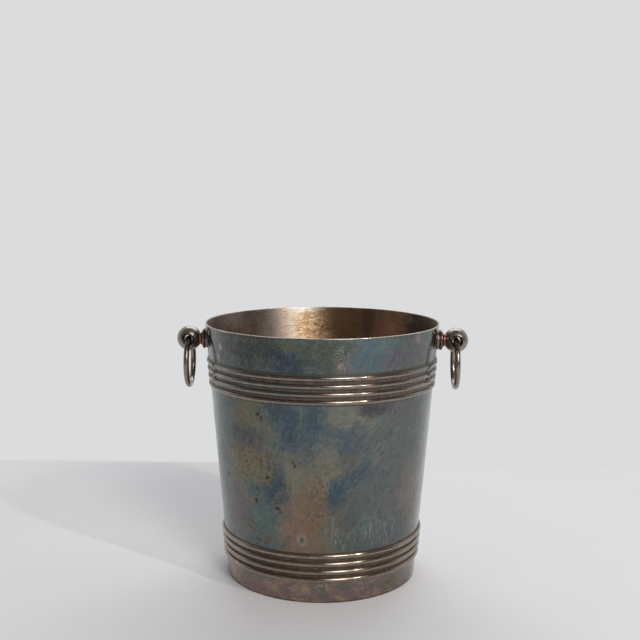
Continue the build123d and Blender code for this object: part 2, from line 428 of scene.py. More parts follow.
def tone(red, green, blue):
    """Linear colour from display values between 0 and 255."""
    straight = [v / 255 for v in (red, green, blue)]
    linear = [v / 12.92 if v <= 0.04045 else ((v + 0.055) / 1.055)**2.4 for v in straight]
    return (*linear, 1.0)


def new_group(name, inputs, output):
    """Node group with one value out; inputs are name: default, and a vector where that is None."""
    tree = bpy.data.node_groups.new(name, "ShaderNodeTree")
    for label, default in inputs.items():
        kind = "NodeSocketVector" if default is None else "NodeSocketFloat"
        socket = tree.interface.new_socket(label, in_out="INPUT", socket_type=kind)
        if default is not None:
            socket.default_value = default
    tree.interface.new_socket(output, in_out="OUTPUT", socket_type="NodeSocketFloat")
    nodes = Nodes(tree)
    return tree, nodes, nodes.add("NodeGroupInput").outputs, nodes.add("NodeGroupOutput").inputs


def use_group(nodes, tree, **inputs):
    """Places a group in a material. An underscore in an argument's name stands for a space."""
    sockets = {key.replace("_", " "): value for key, value in inputs.items()}
    return nodes.add("ShaderNodeGroup", sockets, node_tree=tree).outputs


# ---- colours: (film thickness or noise value, display shade), thin to thick ----
# FILM_COLOURS are those that silver takes on as its sulphide film thickens, muted by handling.
FILM_COLOURS = [
    (0.00, (150, 146, 136)),
    (0.14, (132, 127, 108)),
    (0.26, (134, 115, 92)),
    (0.36, (122, 102, 88)),
    (0.46, (104, 96, 100)),
    (0.55, (86, 94, 106)),
    (0.64, (80, 102, 114)),
    (0.74, (96, 111, 110)),
    (0.85, (106, 111, 107)),
    (0.94, (106, 100, 92)),
    (1.00, (86, 78, 72)),
]
# Brown tarnish with painted shade, for the grooves between the reeds.
GROOVE_SHADE_AND_GRIME_COLOURS = [
    (0.35, (62, 45, 34)),
    (0.65, (104, 78, 60)),
]
# Painted reflection of the key light: gold ripples inside the back.
GOLD_REFLECTION_COLOURS = [
    (0.40, (158, 114, 68)),
    (0.50, (200, 160, 108)),
    (0.62, (240, 218, 186)),
]
INNER_COLOURS = [
    (0.0, (178, 166, 154)),
    (0.3, (148, 134, 122)),
    (0.5, (126, 107, 94)),
    (0.75, (106, 86, 74)),
    (1.0, (78, 68, 64)),
]
REED_CREST_COLOURS = [
    (0.0, (182, 174, 160)),
    (0.3, (166, 160, 148)),
    (0.55, (148, 144, 132)),
    (0.8, (134, 136, 128)),
    (1.0, (120, 128, 126)),
]
FOOT_COLOURS = [
    (0.0, (186, 168, 144)),
    (0.25, (164, 144, 126)),
    (0.42, (150, 128, 122)),
    (0.56, (126, 112, 118)),
    (0.70, (118, 126, 112)),
    (0.85, (128, 112, 92)),
    (1.0, (104, 96, 86)),
]
FITTING_COLOURS = [
    (0.0, (176, 167, 156)),
    (0.3, (154, 144, 134)),
    (0.5, (132, 121, 111)),
    (0.75, (106, 94, 86)),
    (1.0, (84, 72, 65)),
]
BRASS_COLOURS = [
    (0.0, (160, 128, 78)),
    (0.5, (128, 98, 60)),
    (1.0, (88, 70, 50)),
]


def film_group():
    """Tarnish film: big blotches, smaller mottling and fine grain added into one thickness.

    Thickness is Level plus each noise, centred on zero, times its own share.
    """
    inputs = {"Vector": None, "Level": 0.6, "Blotch": 0.5, "Mottle": 0.25, "Grain": 0.1}
    inputs["Upright Stretch"] = 2.0
    tree, n, given, result = new_group("tarnish_film", inputs, "Film")
    stretch = n.add("ShaderNodeCombineXYZ", {0: 1.0, 1: 1.0, 2: given["Upright Stretch"]})
    flow = n.place(given["Vector"], size=stretch.outputs[0])
    film = given["Level"]
    parts = (
        ("Blotch", 0.048, 3.0, 0.5, 0.8),
        ("Mottle", 0.013, 4.0, 0.6, 0.5),
        ("Grain", 0.0028, 3.0, 0.65, 0.0),
    )
    for share, size, detail, rough, warp in parts:
        field = n.noise(flow, size, detail, rough, warp)
        centred = n.calc("SUBTRACT", field, 0.5)
        film = n.calc("MULTIPLY_ADD", centred, given[share], film)
    n.put(result["Film"], film)
    return tree


def patch_group():
    """Mask of one patch: an ellipsoid whose border is moved in and out by the Edge value."""
    inputs = {"Vector": None, "Edge": 0.0, "Centre": None, "Turn": None, "Size": None}
    inputs.update({"Ragged": 1.0, "Strength": 1.0})
    tree, n, given, result = new_group("tarnish_patch", inputs, "Mask")
    local = n.place(given["Vector"], given["Centre"], given["Turn"], given["Size"])
    ball = n.add("ShaderNodeTexGradient", {0: local}, gradient_type="SPHERICAL").outputs["Fac"]
    inside = n.fit(ball, 0.0, 0.1)
    edge = n.times(n.times(given["Edge"], given["Ragged"]), inside)
    mask = n.fit(n.calc("ADD", ball, edge), 0.0, 0.75)
    n.put(result["Mask"], n.times(mask, given["Strength"]))
    return tree


def speck_group():
    """Scattered round specks: 1 near the points of a given share of the cells, 0 elsewhere."""
    inputs = {"Vector": None, "Spacing": 0.008, "Radius": 0.0012, "Share": 0.3}
    tree, n, given, result = new_group("specks", inputs, "Mask")
    scale = n.calc("DIVIDE", 1.0, given["Spacing"])
    sockets = {"Vector": given["Vector"], "Scale": scale, "Randomness": 1.0}
    cell = n.add("ShaderNodeTexVoronoi", sockets)
    away = n.times(cell.outputs["Distance"], given["Spacing"])
    spot = n.fit(away, given["Radius"], 0.0)
    lot = n.split(cell.outputs["Color"])[0]
    chosen = n.calc("LESS_THAN", lot, given["Share"])
    n.put(result["Mask"], n.times(spot, chosen))
    return tree


def scratch_group():
    """Fine scratches: crests of noise stretched along one direction, broken up by slow noise."""
    inputs = {"Vector": None, "Turn": None, "Width": 0.0006, "Length": 0.02, "Share": 0.5}
    tree, n, given, result = new_group("fine_scratches", inputs, "Mask")
    width, length = given["Width"], given["Length"]
    size = n.add("ShaderNodeCombineXYZ", {0: width, 1: width, 2: length}).outputs[0]
    local = n.place(given["Vector"], turn=given["Turn"], size=size)
    thin = n.fit(n.noise(local, 1.0, 1.0, 0.5), 0.66, 0.78)
    where = n.noise(given["Vector"], 0.03, 2.0)
    limit = n.calc("SUBTRACT", 0.8, given["Share"])
    zone = n.fit(where, limit, n.calc("ADD", limit, 0.12))
    n.put(result["Mask"], n.times(thin, zone))
    return tree


FILM = film_group()
PATCH = patch_group()
SPECKS = speck_group()
SCRATCHES = scratch_group()
# Half depth of every patch, through the sheet, in millimetres.
PATCH_DEPTH = 30
# How many times its listed size a mark reaches, out to the end of its soft border.
PATCH_REACH = 1.4
ZONE_REACH = 1.3


def tarnish(n, vector, level, blotch, mottle, grain, stretch=1.0):
    """Film thickness: a level with its blotches, mottling and grain in the given shares."""
    shares = {"Level": level, "Blotch": blotch, "Mottle": mottle, "Grain": grain}
    return use_group(n, FILM, Vector=vector, Upright_Stretch=stretch, **shares)[0]


def filmed(n, vector, colours, **shares):
    """Colour of a tarnish film, read from its list of colours."""
    return n.ramp(tarnish(n, vector, **shares), colours)


def specks(n, vector, spacing, radius, share):
    """Mask of scattered specks."""
    return use_group(n, SPECKS, Vector=vector, Spacing=spacing, Radius=radius, Share=share)[0]


def scratches(n, vector, turn, width, length, share):
    """Mask of fine scratches."""
    sizes = {"Width": width, "Length": length, "Share": share}
    return use_group(n, SCRATCHES, Vector=vector, Turn=turn, **sizes)[0]


def on_wall(turn, z):
    """Point of the outer cone at so many degrees round from the front, at height z."""
    a = radians(turn - 90)
    return (outside(z) * cos(a), outside(z) * sin(a), z)


def wall_patch(n, vector, edge, turn, z, wide, tall, strength=1.0, lean=0.0, ragged=1.0, reach=1.0):
    """Mask of a patch on the wall, with its degrees round from the front and its lean in degrees.

    Its height, half width and half height are in millimetres, and its soft border ends at reach
    times that size.
    """
    size = (wide * reach / 1000, PATCH_DEPTH / 1000, tall * reach / 1000)
    turned = (0, radians(lean), radians(turn))
    where = {"Centre": on_wall(turn, z / 1000), "Turn": turned, "Size": size}
    look = {"Edge": edge, "Ragged": ragged, "Strength": strength}
    return use_group(n, PATCH, Vector=vector, **where, **look)[0]


def paint_patches(n, colour, vector, edge, patches, ragged, reach):
    """Colour with a table of patches painted on, one after another."""
    for turn, z, wide, tall, lean, shade, strength in patches:
        mask = wall_patch(n, vector, edge, turn, z, wide, tall, strength, lean, ragged, reach)
        colour = n.paint(mask, colour, tone(*shade))
    return colour


def border_noise(n, vector, size, detail, rough):
    """Noise centred on zero, which moves the borders of patches in and out."""
    return n.calc("SUBTRACT", n.noise(vector, size, detail, rough), 0.5)


def shift(n, colour, value, start, full, strength, shade):
    """Colour moved towards a display shade as a noise value goes from start to full."""
    return n.paint(n.fit(value, start, full, 0.0, strength), colour, tone(*shade))


def cloudy(n, place, size, detail, low, high, rough=0.6):
    """Roughness that drifts between low and high with cloud noise."""
    return n.fit(n.noise(place, size, detail, rough), 0.3, 0.7, low, high, smooth=False)


def object_place(n):
    """The piece's own coordinates in metres."""
    return n.add("ShaderNodeTexCoord").outputs["Object"]


def stand_off(n, place):
    """Distance outside the wall's cone: radius from the axis minus the cone's radius there."""
    x, y, z = n.split(place)
    level = n.add("ShaderNodeCombineXYZ", {0: x, 1: y}).outputs[0]
    radius = n.add("ShaderNodeVectorMath", {0: level}, operation="LENGTH").outputs["Value"]
    cone = n.calc("MULTIPLY_ADD", z, TAPER, FOOT_RADIUS)
    return n.calc("SUBTRACT", radius, cone)


def ragged(n, place, amount, size):
    """Coordinates pushed about by noise, so that masks placed on them get uneven edges."""
    push = n.noise_hue(place, size, 4.0, 0.6)
    sockets = {0: push, 1: (0.5, 0.5, 0.5)}
    centred = n.add("ShaderNodeVectorMath", sockets, operation="SUBTRACT").outputs[0]
    sockets = {0: centred, 1: (amount,) * 3, 2: place}
    return n.add("ShaderNodeVectorMath", sockets, operation="MULTIPLY_ADD").outputs[0]


def metal(name, colour_of, roughness_of, relief_of, relief_depth, brushed=0.0):
    """Material with one Principled shader fed by three functions of (nodes, place).

    Brushed metal carries fine lines round the axis, which draw its highlights out up and down.
    """
    material = bpy.data.materials.new(name)
    material.use_nodes = True
    material.node_tree.nodes.clear()
    n = Nodes(material.node_tree)
    place = object_place(n)
    shared = {}
    shader = n.add("ShaderNodeBsdfPrincipled", {"Specular IOR Level": 0.3})
    n.put(shader.inputs["Base Color"], colour_of(n, place, shared))
    dirt = shared.get("dirt", shared.get("pits"))
    if dirt is None:
        shader.inputs["Metallic"].default_value = 1.0
    else:
        n.put(shader.inputs["Metallic"], n.fit(dirt, 0.0, 1.0, 1.0, 0.25))
    n.put(shader.inputs["Roughness"], roughness_of(n, place, shared))
    relief = {"Height": relief_of(n, place, shared), "Distance": relief_depth, "Strength": 1.0}
    bump = n.add("ShaderNodeBump", relief)
    n.put(shader.inputs["Normal"], bump.outputs[0])
    if brushed:
        shader.inputs["Anisotropic"].default_value = brushed
        shader.inputs["Anisotropic Rotation"].default_value = 0.25
        round_axis = n.add("ShaderNodeTangent", direction_type="RADIAL", axis="Z").outputs[0]
        n.put(shader.inputs["Tangent"], round_axis)
    output = n.add("ShaderNodeOutputMaterial", {"Surface": shader.outputs[0]})
    output.is_active_output = True
    return material


# ---- Marks on the wall ----
# Every row starts with degrees round from the front and a height. Lengths are in millimetres.
# Patches outside: half width, half height, lean in degrees, shade and strength.
PATCHES = [
    (-40, 153, 10, 22, 0, (120, 101, 80), 0.80),
    (-32, 146, 18, 24, 0, (116, 114, 94), 0.80),
    (-20, 159, 14, 14, 0, (66, 80, 91), 0.90),
    (-13, 140, 11, 22, -15, (62, 86, 102), 0.95),
    (-39, 131, 20, 14, 0, (70, 76, 92), 0.88),
    (-36, 108, 28, 26, 0, (128, 119, 94), 0.88),
    (-21, 91, 13, 28, 8, (58, 84, 98), 0.92),
    (-37, 92, 10, 8, 0, (76, 106, 108), 0.85),
    (-50, 66, 18, 32, 0, (112, 105, 105), 0.80),
    (-26, 62, 13, 18, 0, (96, 122, 118), 0.80),
    (-6, 62, 24, 42, 0, (154, 126, 106), 0.95),
    (-1, 92, 14, 32, 10, (142, 118, 94), 0.75),
    (-10, 112, 16, 18, 0, (134, 129, 110), 0.80),
    (-6, 130, 18, 16, 0, (90, 104, 110), 0.70),
    (0, 154, 14, 14, 0, (60, 82, 96), 0.90),
    (17, 151, 24, 14, 12, (134, 132, 118), 0.88),
    (27, 162, 16, 8, 0, (72, 67, 76), 0.92),
    (42, 159, 18, 10, 0, (112, 101, 112), 0.70),
    (3, 139, 12, 12, 0, (64, 98, 110), 0.88),
    (13, 137, 18, 16, 0, (76, 96, 108), 0.80),
    (5, 114, 11, 30, 0, (132, 130, 116), 0.80),
    (10, 95, 7, 16, 30, (58, 92, 108), 0.88),
    (19, 107, 8, 16, 55, (72, 88, 104), 0.65),
    (41, 104, 22, 54, 0, (106, 111, 111), 0.80),
    (55, 88, 16, 24, 0, (134, 121, 114), 0.70),
    (74, 90, 18, 90, 0, (146, 144, 145), 0.60),
    (26, 66, 7, 9, 0, (106, 130, 130), 0.50),
    (47, 51, 18, 12, 0, (98, 104, 112), 0.80),
    (6, 62, 8, 18, 0, (112, 130, 116), 0.60),
    (-56, 202, 18, 20, 0, (102, 99, 103), 0.80),
    (-27, 204, 30, 18, 0, (70, 76, 71), 0.95),
    (-13, 199, 18, 11, 0, (50, 68, 82), 0.95),
    (-12, 214, 10, 6, 0, (102, 108, 80), 0.85),
    (2, 206, 24, 16, 0, (80, 88, 76), 0.95),
    (11, 198, 8, 6, 0, (124, 102, 90), 0.80),
    (24, 212, 12, 8, 0, (90, 110, 124), 0.80),
    (33, 212, 16, 10, 0, (102, 124, 122), 0.70),
    (20, 199, 20, 9, 0, (92, 112, 122), 0.80),
    (36, 201, 12, 10, 0, (104, 99, 114), 0.75),
    (50, 206, 18, 20, 0, (114, 112, 116), 0.75),
    (80, 195, 12, 30, 0, (108, 98, 104), 0.80),
    (125, 110, 30, 50, 10, (130, 112, 90), 0.80),
    (160, 80, 26, 60, 0, (80, 94, 104), 0.65),
    (190, 140, 34, 30, -15, (120, 120, 104), 0.75),
    (215, 70, 30, 34, 0, (150, 124, 102), 0.80),
    (245, 130, 22, 50, 0, (84, 92, 100), 0.65),
    (100, 150, 26, 24, 0, (74, 84, 100), 0.80),
    (205, 203, 30, 16, 0, (88, 98, 92), 0.80),
    (150, 206, 20, 14, 0, (96, 90, 104), 0.75),
]
# Small spots, some of them painted highlights: radius, shade and strength.
SPOTS = [
    (-31, 156, 2.1, (58, 52, 48), 0.9),
    (-29, 153, 1.8, (58, 52, 48), 0.8),
    (-33, 117, 5, (136, 112, 84), 0.55),
    (-37, 83, 4.4, (140, 108, 82), 0.65),
    (-35, 83, 2.2, (62, 46, 40), 0.9),
    (-27, 104, 2.2, (52, 44, 40), 0.9),
    (-12, 116, 1.6, (56, 50, 44), 0.9),
    (-13, 119, 1.6, (66, 60, 50), 0.8),
    (-22, 79, 2.1, (56, 48, 42), 0.9),
    (-58, 97, 2.4, (60, 50, 46), 0.9),
    # Painted glint, a pale dot.
    (-50, 108, 1.4, (170, 166, 160), 0.5),
    (-9, 54, 6, (164, 158, 146), 0.8),
    (-9, 54, 2.8, (92, 98, 90), 0.9),
    (-28, 51, 5.5, (118, 94, 84), 0.7),
    # Painted highlights on the small dents at the upper left.
    (-55, 205, 3.6, (176, 160, 156), 0.7),
    (-58, 196, 4, (160, 148, 146), 0.7),
    (52, 214, 5, (156, 136, 132), 0.7),
    (50, 140, 1.4, (150, 150, 148), 0.4),
]
# Zones of tiny pale nicks: half width and half height.
NICKED = [
    (9, 207, 5, 7.5),
    (13, 206, 2.5, 3),
    (11, 197, 7, 3.5),
]
# Zones of pits and crust: half width, half height and lean in degrees.
PITTED = [
    (-33, 112, 30, 34, 0),
    (2, 94, 12, 36, 10),
]
# Zones of pale scratches: half width, half height, the scratches' lean in degrees, and strength.
RUBBED = [
    (34, 60, 20, 16, 0, 0.60),
    (11, 56, 13, 16, 10, 0.62),
    (28, 122, 16, 12, 45, 0.32),
    (17, 151, 14, 7, 80, 0.25),
    (-14, 120, 22, 30, 12, 0.16),
    (200, 90, 30, 30, -30, 0.40),
]


def wall_colour(n, place, shared):
    """Outside of the wall: tarnish film with patches, spots, pale scratches, pits and grime."""
    shares = {"level": 0.78, "blotch": 0.50, "mottle": 0.40, "grain": 0.26, "stretch": 2.0}
    colour = filmed(n, place, FILM_COLOURS, **shares)
    pushed = ragged(n, place, 0.020, 0.018)
    edge = border_noise(n, pushed, 0.0065, 7.0, 0.70)
    fine_edge = border_noise(n, place, 0.0020, 4.0, 0.7)
    colour = paint_patches(n, colour, pushed, edge, PATCHES, ragged=1.9, reach=PATCH_REACH)
    colour = n.paint(0.10, colour, n.noise_hue(place, 0.0045, 5.0, 0.7, 0.4), "OVERLAY")
    cloud = n.noise(n.place(place, size=(1, 1, 1.8)), 0.014, 6.0, 0.7, 0.3)
    colour = n.tint(n.fit(cloud, 0.34, 0.68), 0.20, colour, (100, 104, 102))
    streak = n.noise(n.place(place, size=(1, 1, 9)), 0.0014, 3.0, 0.6)
    colour = shift(n, colour, streak, 0.56, 0.78, 0.22, (150, 148, 134))
    colour = shift(n, colour, streak, 0.44, 0.24, 0.32, (62, 62, 60))
    for lean, strength in ((35, 0.30), (-62, 0.22)):
        along = n.place(n.place(pushed, turn=(0, radians(lean), 0)), size=(1, 1, 7))
        stroke = n.noise(along, 0.0030, 4.0, 0.65)
        colour = shift(n, colour, stroke, 0.52, 0.68, strength, (138, 136, 124))
        colour = shift(n, colour, stroke, 0.48, 0.32, strength, (68, 70, 72))
    speckle = n.noise(place, 0.0021, 6.0, 0.75, 0.5)
    colour = shift(n, colour, speckle, 0.53, 0.70, 0.24, (140, 134, 120))
    colour = shift(n, colour, speckle, 0.47, 0.30, 0.34, (60, 60, 62))
    shared["marks"] = rubbed_marks(n, place, pushed, edge)
    colour = n.paint(shared["marks"], colour, tone(166, 166, 154))
    nicks = specks(n, place, spacing=0.0012, radius=0.00062, share=0.80)
    for turn, z, wide, tall in NICKED:
        mask = wall_patch(n, place, fine_edge, turn, z, wide, tall, 0.9, reach=ZONE_REACH)
        colour = n.paint(n.times(mask, nicks), colour, tone(214, 202, 192))
    for turn, z, radius, shade, strength in SPOTS:
        tall = radius * 1.2
        mask = wall_patch(n, place, fine_edge, turn, z, radius, tall, strength, ragged=2.2)
        colour = n.paint(mask, colour, tone(*shade))
    pits = specks(n, pushed, spacing=0.0030, radius=0.0017, share=0.70)
    fly = specks(n, place, spacing=0.0017, radius=0.0010, share=0.5)
    where = n.fit(n.noise(place, 0.045, 2.0), 0.56, 0.70)
    for turn, z, wide, tall, lean in PITTED:
        zone = wall_patch(n, pushed, edge, turn, z, wide, tall, lean=lean, ragged=0.6)
        where = n.calc("MAXIMUM", where, zone)
    pits = n.times(pits, where)
    fly = n.times(fly, where)
    shared["pits"] = n.calc("MAXIMUM", pits, fly)
    colour = n.tint(pits, 0.85, colour, (54, 44, 38))
    colour = n.tint(fly, 0.6, colour, (112, 84, 62))
    return groove_shade_and_grime(n, place, colour, shared)


def rubbed_marks(n, place, pushed, edge):
    """Pale scratches, faint all over, and thick in the rubbed zones, each along its own lean."""
    straight = scratches(n, place, (0, 0, 0), width=0.0006, length=0.018, share=0.22)
    slanted = scratches(n, place, (0.1, 0.7, 0), width=0.0005, length=0.010, share=0.26)
    marks = n.times(n.calc("MAXIMUM", straight, slanted), 0.22)
    bent = ragged(n, place, 0.010, 0.030)
    for turn, z, wide, tall, lean, strength in RUBBED:
        zone = wall_patch(n, pushed, edge, turn, z, wide, tall, strength, reach=ZONE_REACH)
        drawn = n.place(n.place(bent, turn=(0, radians(lean), radians(turn))), size=(1, 1, 14))
        lines = n.fit(n.noise(drawn, 0.0016, 2.0, 0.6), 0.52, 0.70)
        marks = n.calc("MAXIMUM", marks, n.times(zone, lines))
    return marks


def groove_shade_and_grime(n, place, colour, shared):
    """Wall colour with brown tarnish and painted shade between the reeds, and a bright line on the
    rim, worn metal with a painted highlight.
    """
    z = n.split(place)[2]
    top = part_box("upper_reed_1")[1].z
    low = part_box(f"upper_reed_{REED_COUNT}")[0].z
    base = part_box("lower_reed_1")[1].z
    # Painted shade with tarnish: darker brown between the upper reeds and just above the lower
    # band.
    above_low = n.fit(z, low - 0.0012, low + 0.0006)
    below_top = n.fit(z, top + 0.0003, top - 0.0008)
    upper = n.times(above_low, below_top)
    lower = n.fit(z, base + 0.0016, base - 0.0004)
    patchy = n.fit(n.noise(place, 0.005, 5.0, 0.65), 0.30, 0.60, 0.45, 0.95)
    grime_and_shade = n.times(n.calc("MAXIMUM", upper, lower), patchy)
    shared["dirt"] = n.calc("MAXIMUM", grime_and_shade, shared["pits"])
    colour = n.paint(grime_and_shade, colour, n.ramp(n.noise(place, 0.003, 4.0), GROOVE_SHADE_AND_GRIME_COLOURS))
    # Painted highlight along the rim's edge, over worn bright metal.
    rim = n.fit(z, HEIGHT - 0.0011, HEIGHT - 0.0004)
    worn = n.fit(n.noise(place, 0.01, 4.0), 0.3, 0.6, 0.35, 0.9)
    return n.paint(n.times(rim, worn), colour, tone(196, 190, 178))


def wall_roughness(n, place, shared):
    """Semi-gloss film: cloudy variation, duller in pits and along scratches."""
    rough = cloudy(n, place, 0.022, 5.0, 0.11, 0.25)
    rough = n.calc("MULTIPLY_ADD", shared["pits"], 0.25, rough)
    return n.calc("MULTIPLY_ADD", shared["marks"], 0.08, rough)


def wall_relief(n, place, shared):
    """Height of fine orange peel, sunken pits and cut scratches."""
    height = n.times(n.noise(place, 0.0035, 3.0, 0.5), 0.22)
    height = n.calc("MULTIPLY_ADD", shared["pits"], -0.5, height)
    return n.calc("MULTIPLY_ADD", shared["marks"], -0.25, height)


# Patches inside, mostly painted light and shade: painted reflections of the key light at the back
# and left of it, painted shade right of the back, and a painted highlight on the nicked back rim;
# half width, half height, lean in degrees, shade and strength.
INNER_TONE_AND_LIGHT_PATCHES = [
    (-150, 200, 34, 50, 0, (206, 188, 176), 0.78),
    (-169, 206, 22, 34, 0, (226, 204, 176), 0.80),
    (172, 205, 24, 44, 0, (172, 136, 102), 0.80),
    (-112, 205, 30, 50, 0, (112, 99, 94), 0.60),
    (148, 205, 36, 50, 0, (196, 158, 128), 0.82),
    (155, 208, 7, 30, 0, (100, 80, 62), 0.48),
    (138, 198, 15, 12, 0, (214, 156, 132), 0.62),
    (163, 200, 8, 14, 0, (170, 136, 90), 0.60),
    (-128, 214, 20, 10, 0, (158, 150, 144), 0.60),
    (113, 200, 36, 60, 0, (58, 44, 37), 0.85),
    (-171, 218, 16, 3.4, 0, (240, 236, 230), 0.95),
    (-162, 205, 5, 50, 0, (230, 220, 208), 0.50),
]
# Painted reflection of the key light inside the back, with gold ripples: half width, half height
# and strength.
GOLD_REFLECTION_ZONE = (-173, 200, 26, 26, 0.85)


def inner_colour(n, place, shared):
    """Inside of the wall: brown-grey worn plate, with painted light left of the back and painted
    shade right of it.
    """
    wide = n.place(place, size=(1.3, 1.3, 1.0))
    shares = {"level": 0.42, "blotch": 0.90, "mottle": 1.10, "grain": 0.50, "stretch": 1.2}
    colour = filmed(n, wide, INNER_COLOURS, **shares)
    pushed = ragged(n, place, 0.012, 0.012)
    edge = border_noise(n, wide, 0.006, 6.0, 0.68)
    # Painted reflections of the key light and painted shade, laid on as patches.
    colour = paint_patches(n, colour, pushed, edge, INNER_TONE_AND_LIGHT_PATCHES, ragged=0.8, reach=ZONE_REACH)
    # Painted reflection of the key light: gold ripples at the back.
    zone = wall_patch(n, pushed, edge, *GOLD_REFLECTION_ZONE, ragged=0.8)
    ripple = n.noise(n.place(place, size=(1.8, 1.8, 0.8)), 0.0032, 3.0, 0.6, 1.6)
    colour = n.paint(zone, colour, n.ramp(ripple, GOLD_REFLECTION_COLOURS))
    streak = n.noise(n.place(place, size=(9, 9, 1)), 0.0016, 3.0, 0.6)
    colour = shift(n, colour, streak, 0.45, 0.25, 0.4, (60, 46, 38))
    stains = specks(n, pushed, spacing=0.012, radius=0.0030, share=0.4)
    colour = n.tint(stains, 0.35, colour, (110, 82, 54))
    marks = scratches(n, place, (0.5, 1.2, 0), width=0.0006, length=0.012, share=0.4)
    shared["marks"] = marks
    colour = n.tint(marks, 0.35, colour, (205, 190, 170))
    # Painted highlight along the inner lip of the rim, over worn metal.
    rim = n.fit(n.split(place)[2], HEIGHT - 0.0012, HEIGHT - 0.0004)
    return n.tint(rim, 0.8, colour, (200, 192, 178))


def inner_roughness(n, place, shared):
    """Wiped plate: satin, uneven in patches."""
    return cloudy(n, place, 0.015, 5.0, 0.38, 0.52)


def inner_relief(n, place, shared):
    """Wavy planishing marks, longer along the rim than up the wall, and cut scratches."""
    wide = n.place(place, size=(1.8, 1.8, 0.7))
    ripple = n.noise(wide, 0.0040, 2.0, 0.5, 1.6)
    return n.calc("MULTIPLY_ADD", shared["marks"], -0.2, ripple)


def reed_colour(n, place, shared, rise, warmth):
    """Reeds: rubbed on the crest, brown on the flanks, and nearly black where they meet the wall,
    tarnish with painted shade.

    The flat strip above the top reed keeps a greyer film and less of the dark.
    """
    off = stand_off(n, place)
    crest = n.fit(off, 0.25 * rise, 0.90 * rise)
    shared["crest"] = crest
    film = tarnish(n, place, level=0.55, blotch=0.7, mottle=0.5, grain=0.2)
    flank = n.paint(0.52, n.ramp(film, FILM_COLOURS), tone(98, 76, 58))
    rubbed = n.paint(0.55, n.ramp(film, FILM_COLOURS), n.ramp(film, REED_CREST_COLOURS))
    colour = n.paint(crest, flank, rubbed)
    worn = n.fit(n.noise(place, 0.006, 5.0, 0.65), 0.50, 0.68)
    colour = n.tint(n.times(worn, crest), 0.5, colour, (184, 166, 150))
    # Painted shade with tarnish, darkest where the reed meets the wall.
    root_shade = n.fit(off, 0.50 * rise, 0.06 * rise)
    patchy = n.fit(n.noise(place, 0.004, 5.0, 0.65), 0.30, 0.60, 0.55, 0.95)
    margin_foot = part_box("upper_reed_1")[1].z - MARGIN_WIDTH
    margin = n.fit(n.split(place)[2], margin_foot - 0.0001, margin_foot + 0.0003)
    patchy = n.times(patchy, n.fit(margin, 0.0, 1.0, 1.0, 0.2))
    shared["dirt"] = n.times(root_shade, patchy)
    colour = n.paint(warmth, colour, tone(200, 164, 132))
    colour = n.tint(margin, 0.75, colour, (92, 94, 90))
    return n.paint(shared["dirt"], colour, tone(66, 48, 38))


# Rise of each band's wires in metres, and how far their colour is warmed.
upper_reed_colour = partial(reed_colour, rise=0.00165, warmth=0.06)
lower_reed_colour = partial(reed_colour, rise=0.0021, warmth=0.24)


def reed_roughness(n, place, shared):
    """Crests rubbed to a low sheen; flanks duller."""
    base = cloudy(n, place, 0.01, 4.0, 0.13, 0.22, rough=0.55)
    return n.calc("MULTIPLY_ADD", n.calc("SUBTRACT", 1.0, shared["crest"]), 0.20, base)


def reed_relief(n, place, shared):
    """Height of fine grain with small sunken pits."""
    grain = n.noise(place, 0.0016, 3.0)
    pits = specks(n, place, spacing=0.005, radius=0.0006, share=0.15)
    return n.calc("MULTIPLY_ADD", pits, -0.8, n.times(grain, 0.4))


# Rubbed places on the foot: half width and half height.
FOOT_RUBS = [(2, 14, 12, 8), (22, 19, 10, 8), (-30, 12, 8, 8)]


def foot_colour(n, place, shared):
    """Foot skirt: mauve-brown mottle, khaki clouds and pale rubs, with painted shade at the table
    edge.
    """
    shares = {"level": 0.50, "blotch": 1.20, "mottle": 1.50, "grain": 0.90, "stretch": 0.6}
    colour = filmed(n, place, FOOT_COLOURS, **shares)
    smear = n.fit(n.noise(place, 0.006, 6.0, 0.7, 0.6), 0.50, 0.66)
    colour = n.tint(smear, 0.5, colour, (146, 132, 112))
    pits = specks(n, place, spacing=0.006, radius=0.0008, share=0.16)
    shared["pits"] = pits
    colour = n.tint(pits, 0.6, colour, (58, 46, 40))
    marks = scratches(n, place, (0, 1.4, 0), width=0.0005, length=0.01, share=0.36)
    edge = border_noise(n, place, 0.004, 5.0, 0.7)
    bent = ragged(n, place, 0.010, 0.012)
    for turn, z, wide, tall in FOOT_RUBS:
        zone = wall_patch(n, place, edge, turn, z, wide, tall, ragged=1.5)
        line = n.fit(n.noise(n.place(bent, size=(1, 1, 3)), 0.0014, 2.0, 0.6), 0.50, 0.62)
        marks = n.calc("MAXIMUM", marks, n.times(zone, line))
    shared["marks"] = marks
    colour = n.tint(marks, 0.55, colour, (184, 174, 156))
    # Painted contact shade along the lower edge, where the foot stands on the table.
    table_contact_shade = n.fit(n.split(place)[2], 0.0022, 0.0002)
    return n.tint(table_contact_shade, 0.6, colour, (60, 52, 46))


def fitting_colour(n, place, shared):
    """Balls and collars: pewter-grey mottle, brown in pits, brass showing round the neck."""
    colour = filmed(n, place, FITTING_COLOURS, level=0.34, blotch=0.30, mottle=0.42, grain=0.22)
    x = n.calc("ABSOLUTE", n.split(place)[0])
    collar_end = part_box("right_collar")[1].x
    past_collar = n.fit(x, collar_end - 0.0022, collar_end - 0.0002)
    before_ball = n.fit(x, collar_end + 0.0042, collar_end + 0.0016)
    brass = n.times(past_collar, before_ball)
    colour = n.tint(brass, 0.75, colour, (132, 96, 66))
    pits = specks(n, place, spacing=0.003, radius=0.0005, share=0.2)
    shared["pits"] = pits
    return n.tint(pits, 0.5, colour, (64, 54, 46))


def collar_colour(n, place, shared):
    """Collars: the balls' finish under a mauve-brown film."""
    base = fitting_colour(n, place, shared)
    return n.paint(0.55, base, tone(124, 98, 92))


